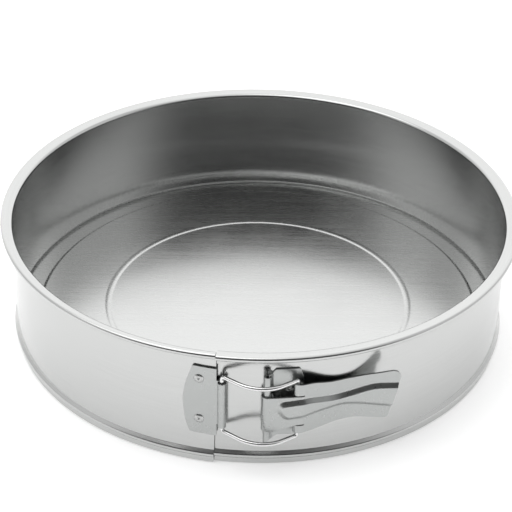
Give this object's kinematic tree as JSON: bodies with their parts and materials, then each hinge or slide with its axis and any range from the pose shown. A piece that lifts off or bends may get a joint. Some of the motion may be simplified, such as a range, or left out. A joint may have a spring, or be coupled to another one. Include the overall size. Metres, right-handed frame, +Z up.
{
  "type": "springform pan",
  "caption": "Round springform baking pan: a sprung steel band with a beaded lip, clamped round a loose base plate by a wire bail and an over-centre lever.",
  "frame": {"origin": "on the pan's vertical axis, at the level of the surface that it stands on", "axes": "+Z up through the open top, -Y from the axis towards the clasp, +X towards the lever's handle end"},
  "size_m": [0.2746, 0.2802, 0.067],
  "materials": {
    "band_tinplate": "bright rolled tinplate, faint horizontal rolling lines",
    "base_tinplate": "satin tinplate with light baking and knife marks",
    "clasp_steel": "satin zinc-plated pressed steel",
    "wire_steel": "bright drawn wire",
    "rivet_steel": "plated, dimpled heads"
  },
  "bodies": {
    "root": {"base_plate": "base_tinplate", "spring_band_back": "band_tinplate"},
    "left_arc": {"spring_band_left": "band_tinplate", "catch_bracket": "clasp_steel", "catch_rivets": "rivet_steel", "bail_pivot_segment": "wire_steel"},
    "right_arc": {"spring_band_right": "band_tinplate", "hinge_bracket": "clasp_steel", "hinge_rivets": "rivet_steel"},
    "lever": {"clamp_lever": "clasp_steel"},
    "bail": {"bail_wire": "wire_steel"}
  },
  "joints": [
    {"name": "band_opening_left", "type": "hinge", "parent": "root", "child": "left_arc", "pos_m": [-0.11951, 0.069, 0.0325], "axis": [0, 0, -1], "range_deg": [0, 2.98]},
    {"name": "band_opening_right", "type": "hinge", "parent": "root", "child": "right_arc", "pos_m": [0.11951, 0.069, 0.0325], "axis": [0, 0, 1], "range_deg": [0, 2.98]},
    {"name": "lever_swing", "type": "hinge", "parent": "right_arc", "child": "lever", "pos_m": [0.0056, -0.134, 0.034], "axis": [0, 0, -1], "range_deg": [0, 135.01]},
    {"name": "bail_swing", "type": "hinge", "parent": "lever", "child": "bail", "pos_m": [0.02, -0.1334, 0.034], "axis": [0, 0, 1], "range_deg": [0, 112.08]}
  ],
  "couplings": [
    {"joint": "band_opening_right", "follows": "band_opening_left", "ratio": 1},
    {"joint": "lever_swing", "follows": "band_opening_left", "ratio": 45.261},
    {"joint": "bail_swing", "follows": "band_opening_left", "ratio": 37.575}
  ]
}
